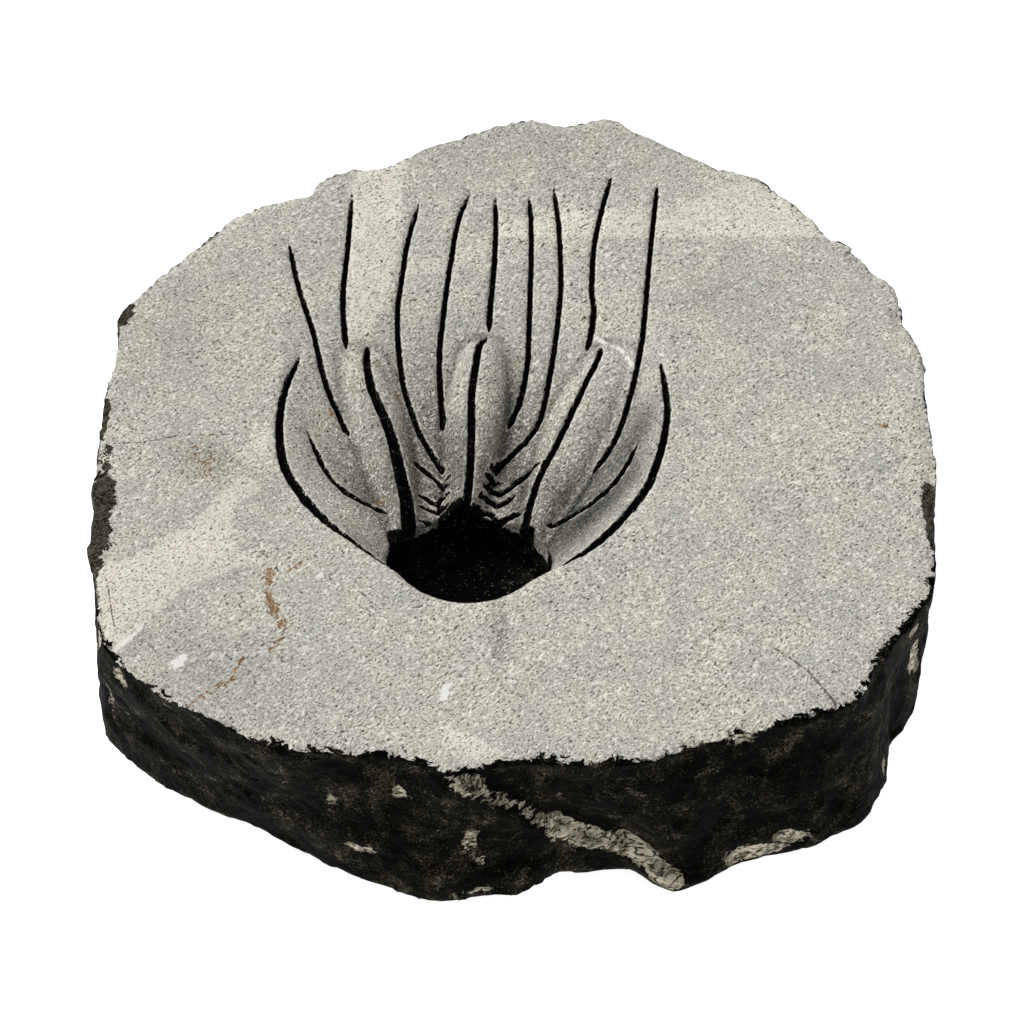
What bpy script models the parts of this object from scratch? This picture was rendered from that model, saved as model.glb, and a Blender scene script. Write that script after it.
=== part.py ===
"""A round slab of pale granite lying on its flat bed, carved on top.

One piece of stone, in metres, +Z up, origin under the middle of the slab at bed level.
The hollow runs down from the back (+Y) to a deep well near the front (-Y). Three fingers of
stone are left standing in it, and narrow saw-cut grooves follow the hollow's form.
"""
import math

import bmesh
import bpy
from mathutils import Vector, noise

# ---- the slab ----
THICKNESS = 0.110
# the outline and the carving are drawn from one point; the slab's middle is this far from it
MIDDLE = Vector((0.0004, -0.0018, 0.0))
# corners of the rim: bearing from +X in degrees, radius of the rim, how far the foot stands out from it
RIM_CORNERS = (
    (4, 0.2135, 0.0120), (12, 0.2215, 0.0115), (19, 0.2185, 0.0105), (24, 0.2260, 0.0095),
    (29, 0.2225, 0.0085), (34, 0.2220, 0.0075), (38, 0.2175, 0.0070), (43, 0.2220, 0.0060),
    (48, 0.2220, 0.0055), (52, 0.2250, 0.0050), (57, 0.2230, 0.0040), (61, 0.2205, 0.0040),
    (66, 0.2250, 0.0045), (71, 0.2295, 0.0060), (77, 0.2380, 0.0020), (80, 0.2330, 0.0020),
    (84, 0.2260, 0.0030), (88, 0.2310, 0.0045), (92, 0.2265, 0.0055), (98, 0.2175, 0.0070),
    (104, 0.2120, 0.0085), (109, 0.2075, 0.0100), (114, 0.2090, 0.0110), (118, 0.2110, 0.0120),
    (122, 0.2105, 0.0120), (125, 0.2045, 0.0120), (130, 0.2130, 0.0100), (135, 0.2170, 0.0070),
    (141, 0.2165, 0.0055), (149, 0.2180, 0.0050), (155, 0.2225, 0.0055), (160, 0.2255, 0.0060),
    (166, 0.2180, 0.0075), (173, 0.2170, 0.0105), (180, 0.2160, 0.0120), (187, 0.2175, 0.0110),
    (194, 0.2225, 0.0090), (200, 0.2290, 0.0070), (205, 0.2350, 0.0055), (210, 0.2435, 0.0050),
    (213, 0.2480, 0.0065), (217, 0.2520, -0.0010), (222, 0.2520, -0.0065), (230, 0.2470, -0.0070),
    (240, 0.2400, -0.0065), (247, 0.2315, 0.0050), (251, 0.2265, 0.0135), (255, 0.2230, 0.0170),
    (258, 0.2245, 0.0175), (262, 0.2280, 0.0105), (265, 0.2250, 0.0095), (268, 0.2205, 0.0130),
    (270, 0.2190, 0.0135), (273, 0.2190, 0.0085), (275, 0.2200, 0.0020), (278, 0.2220, 0.0005),
    (281, 0.2240, -0.0005), (285, 0.2265, 0.0000), (287, 0.2270, 0.0100), (289, 0.2265, 0.0170),
    (292, 0.2260, 0.0180), (297, 0.2285, 0.0135), (302, 0.2335, 0.0135), (306, 0.2390, 0.0150),
    (309, 0.2430, 0.0120), (313, 0.2450, 0.0135), (318, 0.2380, 0.0145), (323, 0.2360, 0.0045),
    (327, 0.2360, 0.0040), (331, 0.2350, 0.0030), (337, 0.2280, 0.0055), (345, 0.2190, 0.0100),
    (352, 0.2170, 0.0115),
)
RIM_SIDES = 100          # edges round the rim
FOOT_HEIGHT = 0.017      # height of the widest line, above the bed
BED_INSET = 0.016        # the flat bed is this much inside the widest line
CRUST_LUMP = 0.0035      # depth of the lumps on the broken sides
CRUST_LUMP_SIZE = 0.040

# ---- the hollow ----
HOLLOW_X, HOLLOW_Y = -0.0226, 0.0017   # middle of its widest line
HOLLOW_HALF_WIDTH = 0.103
HOLLOW_FRONT = 0.124                   # from the widest line to the front tip
HOLLOW_TIP_SHAPE = 0.8                 # below 1 blunt, above 1 pointed
FLOOR_DEPTH = 0.038
RAMP_Y, RAMP_LENGTH = 0.0397, 0.024    # where the floor is half way down, and how gently it goes
BANK_SHAPE = 1.7                       # how steeply the banks leave the hollow's edge

# ---- the fingers: x, y, depth of the crest below the top, half width, from tip to foot ----
FINGERS = (
    ((-0.0835, 0.0460, 0.005, 0.0150), (-0.0765, 0.0200, 0.009, 0.0175),
     (-0.0695, -0.0080, 0.015, 0.0155), (-0.0590, -0.0520, 0.025, 0.0105)),
    ((-0.0185, 0.0540, 0.004, 0.0150), (-0.0230, 0.0220, 0.009, 0.0175),
     (-0.0250, -0.0040, 0.016, 0.0155), (-0.0285, -0.0400, 0.028, 0.0105)),
    ((0.0500, 0.0440, 0.003, 0.0175), (0.0385, 0.0190, 0.008, 0.0220),
     (0.0275, -0.0060, 0.014, 0.0195), (0.0085, -0.0550, 0.025, 0.0115)),
)
FINGER_SIDE = 0.018      # height of a finger's rounded side
FINGER_STEP = 0.009
FINGER_SIDES = 20
FINGER_TIP_TURNS = (12, 35, 62)   # rings of the round tip, in degrees back from its end

# ---- the well ----
WELL_X, WELL_Y = -0.0246, -0.0793
WELL_RADIUS = 0.0425
WELL_DEPTH = 0.066
WELL_FLOOR_ROUND = 0.010
WELL_FLOOR_STEPS = 3     # steps in the rounding of its floor
WELL_SIDES = 40
WELL_CLEARANCE = 0.020   # how far its cutter stands above the stone

# ---- the grooves: width, depth, then the points of the route on the top, from its outer end ----
SAW, ARC, CREST, NICK = (0.0034, 0.0040), (0.0060, 0.0050), (0.0052, 0.0050), (0.0024, 0.0022)
GROOVES = (
    (SAW, ((-0.126, 0.128), (-0.121, 0.103), (-0.116, 0.084), (-0.106, 0.049), (-0.099, 0.022),
           (-0.088, 0.002))),
    (SAW, ((-0.093, 0.164), (-0.094, 0.128), (-0.095, 0.090), (-0.092, 0.056))),
    (SAW, ((-0.055, 0.163), (-0.063, 0.111), (-0.065, 0.067), (-0.060, 0.035), (-0.052, 0.012),
           (-0.038, -0.012))),
    (SAW, ((-0.027, 0.167), (-0.036, 0.119), (-0.042, 0.057), (-0.039, 0.011))),
    (SAW, ((-0.012, 0.166), (-0.012, 0.118), (-0.015, 0.071))),
    (SAW, ((0.007, 0.168), (0.008, 0.123), (0.006, 0.058), (0.002, 0.032), (-0.005, 0.016))),
    (SAW, ((0.021, 0.172), (0.024, 0.122), (0.021, 0.061), (0.011, 0.017), (-0.004, 0.000),
           (-0.013, -0.010))),
    (SAW, ((0.052, 0.178), (0.043, 0.128), (0.042, 0.084), (0.038, 0.057))),
    (SAW, ((0.079, 0.174), (0.073, 0.117), (0.067, 0.055), (0.061, 0.028), (0.053, 0.000),
           (0.040, -0.021))),
    (ARC, ((-0.116, 0.050), (-0.125, 0.005), (-0.121, -0.034), (-0.104, -0.065), (-0.078, -0.089),
           (-0.056, -0.104))),
    (ARC, ((0.077, 0.043), (0.080, 0.010), (0.071, -0.030), (0.055, -0.063), (0.033, -0.091),
           (0.004, -0.107))),
    (SAW, ((-0.111, -0.001), (-0.101, -0.024), (-0.083, -0.039), (-0.067, -0.043))),
    (SAW, ((0.065, -0.007), (0.055, -0.026), (0.035, -0.044), (0.015, -0.052))),
    (CREST, ((-0.081, 0.060), (-0.078, 0.030), (-0.069, 0.008), (-0.061, -0.021), (-0.056, -0.055))),
    (CREST, ((-0.016, 0.068), (-0.021, 0.054), (-0.024, 0.012), (-0.025, -0.023), (-0.027, -0.042))),
    (CREST, ((0.045, 0.059), (0.036, 0.031), (0.020, -0.005), (0.007, -0.037), (0.003, -0.058))),
    (NICK, ((-0.055, -0.005), (-0.048, -0.013), (-0.042, -0.018), (-0.035, -0.024))),
    (NICK, ((-0.053, -0.026), (-0.047, -0.029), (-0.041, -0.029), (-0.035, -0.028))),
    (NICK, ((-0.052, -0.036), (-0.046, -0.036), (-0.040, -0.034), (-0.034, -0.034))),
    (NICK, ((0.012, -0.011), (0.004, -0.013), (-0.003, -0.018), (-0.009, -0.021), (-0.017, -0.023))),
    (NICK, ((-0.001, -0.024), (-0.006, -0.028), (-0.013, -0.028), (-0.020, -0.029))),
    (NICK, ((0.005, -0.038), (-0.006, -0.039), (-0.013, -0.036), (-0.022, -0.034))),
)
GROOVE_CLEARANCE = 0.008     # how far a groove's cutter stands above the stone
GROOVE_STEP = 0.012
NICK_STEP = 0.006
GROOVE_END = 0.35            # width and depth left at a groove's two ends, as a share

# ---- the mesh of the hollow ----
HOLLOW_COLUMNS = 30
HOLLOW_ROWS = 42
HOLLOW_FRONT_Y = WELL_Y - WELL_RADIUS / 2    # the carved floor starts here, inside the well's mouth
HOLLOW_BACK_Y = 0.176        # the floor has come up to the top by this y
HOLLOW_EDGE_DROP = 0.0006    # the carved edge is this deep at the front; it runs out towards the back
MERGE = 0.00001

# ---- the stone's look: linear colour and roughness ----
STONE_COLOUR = (0.47, 0.46, 0.41, 1.0)
STONE_ROUGHNESS = 0.85


def smooth_route(points, step):
    """Points about one step apart along a Catmull-Rom curve through the route's points."""
    route = [Vector(point) for point in points]
    route = [2 * route[0] - route[1]] + route + [2 * route[-1] - route[-2]]
    path = []
    for before, start, end, after in zip(route, route[1:], route[2:], route[3:]):
        count = max(1, round((end.xy - start.xy).length / step))
        for i in range(count):
            t = i / count
            path.append(0.5 * (2 * start + (end - before) * t
                               + (2 * before - 5 * start + 4 * end - after) * t * t
                               + (3 * start - before - 3 * end + after) * t ** 3))
    path.append(route[-2])
    return path


def rim_at(bearing):
    """Rim radius and foot overhang at a bearing in degrees, on a smooth closed curve."""
    corners = RIM_CORNERS
    last = len(corners)
    k = next((i for i in range(last) if corners[i][0] > bearing), last)
    picks = [(corners[i % last], 360 * (i // last)) for i in (k - 2, k - 1, k, k + 1)]
    turns = [corner[0] + turn for corner, turn in picks]
    t = (bearing - turns[1]) / (turns[2] - turns[1])
    values = []
    for channel in (1, 2):
        a, b, c, d = (corner[channel] for corner, _ in picks)
        slope_b = (c - a) / (turns[2] - turns[0]) * (turns[2] - turns[1])
        slope_c = (d - b) / (turns[3] - turns[1]) * (turns[2] - turns[1])
        values.append((2 * t ** 3 - 3 * t * t + 1) * b + (t ** 3 - 2 * t * t + t) * slope_b
                      + (3 * t * t - 2 * t ** 3) * c + (t ** 3 - t * t) * slope_c)
    return values


def hollow_half_width(y):
    ahead = min(max((HOLLOW_Y - y) / HOLLOW_FRONT, 0.0), 1.0)
    return HOLLOW_HALF_WIDTH * (1 - ahead ** 2) ** HOLLOW_TIP_SHAPE


def floor_depth(x, y):
    """Depth of the hollow's floor and banks, fingers left out."""
    half_width = hollow_half_width(y)
    if abs(x - HOLLOW_X) >= half_width:
        return 0.0
    inward = 1 - abs(x - HOLLOW_X) / half_width
    middle = FLOOR_DEPTH / (1 + math.exp((y - RAMP_Y) / RAMP_LENGTH))
    return middle * (1 - (1 - inward) ** BANK_SHAPE)


def finger_depth(x, y, path):
    """Depth of one finger's rounded back at a spot, or infinity beside the finger."""
    depth = math.inf
    for start, end in zip(path, path[1:]):
        run = end.xy - start.xy
        along = min(max((Vector((x, y)) - start.xy).dot(run) / run.length_squared, 0.0), 1.0)
        here = start.lerp(end, along)
        aside = math.hypot(x - here.x, y - here.y) / here.w
        if aside < 1:
            depth = min(depth, here.z + FINGER_SIDE * (1 - math.sqrt(1 - aside ** 2)))
    return depth


def carved_depth(x, y):
    """Depth of the carved stone below the flat top, grooves and well left out."""
    return min([floor_depth(x, y)] + [finger_depth(x, y, path) for path in FINGER_PATHS])


FINGER_PATHS = [smooth_route(finger, FINGER_STEP) for finger in FINGERS]


def new_object(name, bm):
    """Turn a finished bmesh into an object of its own."""
    bmesh.ops.recalc_face_normals(bm, faces=bm.faces)
    mesh = bpy.data.meshes.new(name)
    bm.to_mesh(mesh)
    bm.free()
    thing = bpy.data.objects.new(name, mesh)
    thing.location = -MIDDLE
    bpy.context.collection.objects.link(thing)
    return thing


def make_cutter(thing):
    thing.hide_render = True
    thing.display_type = 'WIRE'
    return thing


# the sides, from the bed up: height, share of the foot's overhang, step inside it
SIDE_LEVELS = (
    (0.0, 1.0, BED_INSET), (FOOT_HEIGHT * 0.45, 1.0, BED_INSET * 0.3), (FOOT_HEIGHT, 1.0, 0.0),
    (0.045, 0.7, 0.0), (0.075, 0.3, 0.0), (0.098, 0.05, 0.0), (THICKNESS, 0.0, 0.0),
)


def side_point(bearing, level):
    """A point on the rough side: bearing in radians, level an index of SIDE_LEVELS."""
    height, foot_share, inset = SIDE_LEVELS[level]
    radius, foot = rim_at(math.degrees(bearing) % 360)
    radius += foot * foot_share - inset
    if height > 0:
        spot = Vector((radius * math.cos(bearing), radius * math.sin(bearing), height))
        radius += CRUST_LUMP * noise.noise(spot / CRUST_LUMP_SIZE)
    return Vector((radius * math.cos(bearing), radius * math.sin(bearing), height))


def stacked_rings(sides, count):
    """A closed tube of unit radius whose rings lie at z = 0, 1, 2 and so on."""
    bm = bmesh.new()
    bmesh.ops.create_circle(bm, cap_ends=True, segments=sides, radius=1.0)
    for level in range(1, count):
        top = max(bm.faces, key=lambda face: face.calc_center_median().z)
        grown = bmesh.ops.extrude_face_region(bm, geom=[top])['geom']
        bmesh.ops.translate(bm, vec=(0, 0, 1), verts=[g for g in grown if isinstance(g, bmesh.types.BMVert)])
        if level > 1:
            bmesh.ops.delete(bm, geom=[top], context='FACES_ONLY')
    return bm


def rough_slab():
    """The slab before carving: broken sides from the flat bed up to the flat top."""
    bm = stacked_rings(RIM_SIDES, len(SIDE_LEVELS))
    for vert in bm.verts:
        vert.co = side_point(math.atan2(vert.co.y, vert.co.x), round(vert.co.z))
    return new_object("carved_slab", bm)


def finger_solid(name, path):
    """A lying finger with an oval section and a round tip; its lower half sinks in the floor."""
    tip, heading = path[0], (path[1].xy - path[0].xy).normalized()
    rings = []
    for turn in map(math.radians, FINGER_TIP_TURNS):
        rings.append((tip.xy - heading * tip.w * math.cos(turn), heading, tip.z, tip.w, math.sin(turn)))
    for i, here in enumerate(path):
        heading = (path[min(i + 1, len(path) - 1)].xy - path[max(i - 1, 0)].xy).normalized()
        rings.append((here.xy, heading, here.z, here.w, 1.0))
    bm = stacked_rings(FINGER_SIDES, len(rings))
    for vert in bm.verts:
        middle, heading, depth, half, share = rings[round(vert.co.z)]
        aside = Vector((-heading.y, heading.x)) * half * share * vert.co.x
        height = THICKNESS - depth - FINGER_SIDE * (1 - share * vert.co.y)
        vert.co = (middle.x + aside.x, middle.y + aside.y, height)
    return make_cutter(new_object(name, bm))


def hollow_cutter():
    """The space that is carved away above the hollow's floor; its edge follows the hollow's outline."""
    bm = bmesh.new()
    bmesh.ops.create_grid(bm, x_segments=HOLLOW_COLUMNS, y_segments=HOLLOW_ROWS, size=1.0)
    grown = bmesh.ops.extrude_face_region(bm, geom=bm.faces[:])['geom']
    lid = {g for g in grown if isinstance(g, bmesh.types.BMVert)}
    front, back = HOLLOW_FRONT_Y, HOLLOW_BACK_Y
    for vert in bm.verts:
        y = front + (back - front) * (vert.co.y + 1) / 2
        x = HOLLOW_X + hollow_half_width(y) * vert.co.x
        fade = min(max((y - HOLLOW_Y) / (back - HOLLOW_Y), 0.0), 1.0)
        drop = floor_depth(x, y) + HOLLOW_EDGE_DROP * (1 - 2 * fade)
        vert.co = (x, y, THICKNESS + GROOVE_CLEARANCE if vert in lid else THICKNESS - drop)
    bmesh.ops.triangulate(bm, faces=bm.faces[:])
    return make_cutter(new_object("hollow_cutter", bm))


def well_cutter():
    """A turned plug the shape of the well."""
    bm = bmesh.new()
    floor = THICKNESS - WELL_DEPTH
    profile = [(0.0, floor)]
    for i in range(WELL_FLOOR_STEPS + 1):
        turn = math.radians(90 * i / WELL_FLOOR_STEPS)
        profile.append((WELL_RADIUS - WELL_FLOOR_ROUND * (1 - math.sin(turn)),
                        floor + WELL_FLOOR_ROUND * (1 - math.cos(turn))))
    profile += [(WELL_RADIUS, THICKNESS + WELL_CLEARANCE), (0.0, THICKNESS + WELL_CLEARANCE)]
    verts = [bm.verts.new((radius, 0, height)) for radius, height in profile]
    edges = [bm.edges.new(pair) for pair in zip(verts, verts[1:])]
    bmesh.ops.spin(bm, geom=verts + edges, cent=(0, 0, 0), axis=(0, 0, 1), angle=math.tau,
                   steps=WELL_SIDES, use_merge=True)
    bmesh.ops.remove_doubles(bm, verts=bm.verts[:], dist=MERGE)
    plug = make_cutter(new_object("well_cutter", bm))
    plug.location += Vector((WELL_X, WELL_Y, 0))
    return plug


def groove_cutter(name, width, depth, route, step):
    """A straight-sided bar that follows a route over the carved stone and tapers at its ends."""
    path = smooth_route(route, step)
    last = len(path) - 1
    bm = bmesh.new()
    bmesh.ops.create_grid(bm, x_segments=last, y_segments=1, size=0.5)
    grown = bmesh.ops.extrude_face_region(bm, geom=bm.faces[:])['geom']
    bottom = {g for g in grown if isinstance(g, bmesh.types.BMVert)}
    for vert in bm.verts:
        i = round((vert.co.x + 0.5) * last)
        along = (path[min(i + 1, last)] - path[max(i - 1, 0)]).normalized()
        share = GROOVE_END if i in (0, last) else 1.0
        spot = path[i] + along.orthogonal() * math.copysign(width / 2 * share, vert.co.y)
        surface = THICKNESS - carved_depth(*path[i])
        height = surface - depth * share if vert in bottom else surface + GROOVE_CLEARANCE
        vert.co = (spot.x, spot.y, height)
    bmesh.ops.triangulate(bm, faces=bm.faces[:])
    return make_cutter(new_object(name, bm))


def cut(thing, cutters):
    """Take a set of cutters away from an object."""
    group = bpy.data.collections.new(f"cutters of {thing.name}")
    for cutter in cutters:
        group.objects.link(cutter)
    boolean = thing.modifiers.new("Cut", 'BOOLEAN')
    boolean.operation = 'DIFFERENCE'
    boolean.operand_type = 'COLLECTION'
    boolean.collection = group
    boolean.solver = 'EXACT'


def stone_material():
    stone = bpy.data.materials.new("pale granite")
    stone.use_nodes = True
    shader = stone.node_tree.nodes["Principled BSDF"]
    shader.inputs["Base Color"].default_value = STONE_COLOUR
    shader.inputs["Roughness"].default_value = STONE_ROUGHNESS
    shader.inputs["Metallic"].default_value = 0.0
    return stone


def main():
    for old in list(bpy.data.objects):
        bpy.data.objects.remove(old)
    slab = rough_slab()
    slab.data.materials.append(stone_material())
    hollow = hollow_cutter()
    cut(hollow, [finger_solid(f"finger_{i + 1}", path) for i, path in enumerate(FINGER_PATHS)])
    grooves = []
    for i, (size, route) in enumerate(GROOVES):
        step = NICK_STEP if size == NICK else GROOVE_STEP
        grooves.append(groove_cutter(f"groove_cutter_{i + 1}", *size, route, step))
    cut(slab, [hollow])
    cut(slab, [well_cutter()] + grooves)


main()
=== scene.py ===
import math
import bmesh
import bpy
import numpy as np
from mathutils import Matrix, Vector, noise


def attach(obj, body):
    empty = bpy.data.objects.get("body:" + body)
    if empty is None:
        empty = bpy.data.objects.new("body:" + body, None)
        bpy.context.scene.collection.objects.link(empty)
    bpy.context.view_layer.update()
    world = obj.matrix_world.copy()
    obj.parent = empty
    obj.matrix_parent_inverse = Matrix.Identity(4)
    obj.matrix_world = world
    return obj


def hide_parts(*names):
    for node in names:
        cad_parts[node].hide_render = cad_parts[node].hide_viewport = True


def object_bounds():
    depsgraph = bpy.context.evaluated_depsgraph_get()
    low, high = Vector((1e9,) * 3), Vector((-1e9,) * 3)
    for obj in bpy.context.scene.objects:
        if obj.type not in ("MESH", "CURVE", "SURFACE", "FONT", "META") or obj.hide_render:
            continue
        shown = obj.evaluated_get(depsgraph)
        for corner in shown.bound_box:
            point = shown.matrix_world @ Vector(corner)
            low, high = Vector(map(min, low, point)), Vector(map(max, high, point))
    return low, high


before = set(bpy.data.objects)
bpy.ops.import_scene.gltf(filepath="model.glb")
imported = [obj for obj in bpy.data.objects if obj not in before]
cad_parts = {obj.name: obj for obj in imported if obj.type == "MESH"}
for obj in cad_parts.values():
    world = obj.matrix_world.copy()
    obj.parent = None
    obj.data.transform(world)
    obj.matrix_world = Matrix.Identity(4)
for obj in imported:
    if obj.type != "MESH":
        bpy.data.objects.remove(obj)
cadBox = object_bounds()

# A rough round slab of pale granite with a hollow carved in its top: a deep black well, three
# fingers of stone left standing, and narrow saw cuts. Everything is in metres.

slab = {
    "thickness": 0.110,
    "middle": (0.0004, -0.0018),     # from the drawing's own centre to the slab's middle
    # corners of the rim: bearing in degrees, radius, how far the foot stands out
    "corners": (
        (4, 0.2135, 0.012), (12, 0.2215, 0.0115), (19, 0.2185, 0.0105), (24, 0.226, 0.0095),
        (29, 0.2225, 0.0085), (34, 0.222, 0.0075), (38, 0.2175, 0.007), (43, 0.222, 0.006),
        (48, 0.222, 0.0055), (52, 0.225, 0.005), (57, 0.223, 0.004), (61, 0.2205, 0.004),
        (66, 0.225, 0.0045), (71, 0.2295, 0.006), (77, 0.238, 0.002), (80, 0.233, 0.002),
        (84, 0.226, 0.003), (88, 0.231, 0.0045), (92, 0.2265, 0.0055), (98, 0.2175, 0.007),
        (104, 0.212, 0.0085), (109, 0.2075, 0.01), (114, 0.209, 0.011), (118, 0.211, 0.012),
        (122, 0.2105, 0.012), (125, 0.2045, 0.012), (130, 0.213, 0.01), (135, 0.217, 0.007),
        (141, 0.2165, 0.0055), (149, 0.218, 0.005), (155, 0.2225, 0.0055), (160, 0.2255, 0.006),
        (166, 0.218, 0.0075), (173, 0.217, 0.0105), (180, 0.216, 0.012), (187, 0.2175, 0.011),
        (194, 0.2225, 0.009), (200, 0.229, 0.007), (205, 0.235, 0.0055), (210, 0.2435, 0.005),
        (213, 0.248, 0.0065), (217, 0.252, -0.001), (222, 0.252, -0.0065), (230, 0.247, -0.007),
        (240, 0.24, -0.0065), (247, 0.2315, 0.005), (251, 0.2265, 0.0135), (255, 0.223, 0.017),
        (258, 0.2245, 0.0175), (262, 0.228, 0.0105), (265, 0.225, 0.0095), (268, 0.2205, 0.013),
        (270, 0.219, 0.0135), (273, 0.219, 0.0085), (275, 0.22, 0.002), (278, 0.222, 0.0005),
        (281, 0.224, -0.0005), (285, 0.2265, 0.0), (287, 0.227, 0.01), (289, 0.2265, 0.017),
        (292, 0.226, 0.018), (297, 0.2285, 0.0135), (302, 0.2335, 0.0135), (306, 0.239, 0.015),
        (309, 0.243, 0.012), (313, 0.245, 0.0135), (318, 0.238, 0.0145), (323, 0.236, 0.0045),
        (327, 0.236, 0.004), (331, 0.235, 0.003), (337, 0.228, 0.0055), (345, 0.219, 0.01),
        (352, 0.217, 0.0115)),
    # the side from the bed up: height, share of the foot's overhang, step inside it
    "sideHeights": (0.0, 0.00765, 0.017, 0.045, 0.075, 0.098, 0.110),
    "sideShares": (1.0, 1.0, 1.0, 0.7, 0.3, 0.05, 0.0),
    "sideInsets": (0.016, 0.0048, 0.0, 0.0, 0.0, 0.0, 0.0),
    "lump": 0.0035, "lumpSize": 0.040,
    # the face of the top: its waves, its tooling, and the wear along its rim and the well's ring
    "wave": 0.0007, "waveSize": 0.060, "tooling": 0.00016, "toolingSize": 0.007,
    "wear": 0.0020, "wearWidth": 0.007, "wearSize": 0.016, "ringWear": 0.0012, "ringWearWidth": 0.0022,
    # the broken side: depth and size of its large and small faces, and of its rough grain
    "faces": ((0.0017, 0.026, 0.0), (0.0010, 0.010, 4.0)), "rough": 0.0009, "roughSize": 0.020,
}
hollow = {
    "x": -0.0226, "y": 0.0017, "halfWidth": 0.103, "front": 0.124, "tipShape": 0.8,
    "depth": 0.038, "rampY": 0.0397, "rampLength": 0.024, "bankShape": 1.7,
    "tipStart": 0.012,       # where the hollow is this narrow, in front of the well, it has no depth
}
fingers = {
    # x, y, depth of the crest, half width, from tip to foot
    "routes": (
        ((-0.0835, 0.046, 0.005, 0.015), (-0.0765, 0.02, 0.009, 0.0175),
         (-0.0695, -0.008, 0.015, 0.0155), (-0.059, -0.052, 0.025, 0.0105)),
        ((-0.0185, 0.054, 0.004, 0.015), (-0.023, 0.022, 0.009, 0.0175),
         (-0.025, -0.004, 0.016, 0.0155), (-0.0285, -0.04, 0.028, 0.0105)),
        ((0.05, 0.044, 0.003, 0.0175), (0.0385, 0.019, 0.008, 0.022),
         (0.0275, -0.006, 0.014, 0.0195), (0.0085, -0.055, 0.025, 0.0115))),
    "side": 0.018,
}
well = {
    "x": -0.0246, "y": -0.0793, "radius": 0.0425, "depth": 0.066, "floorRound": 0.010,
    "tooling": 0.0005, "toolingSize": 0.008,
    # shares of its rows that lie on the flat floor and on the floor's rounding; the rest is the wall
    "flatRows": 0.30, "roundRows": 0.15,
}
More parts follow.
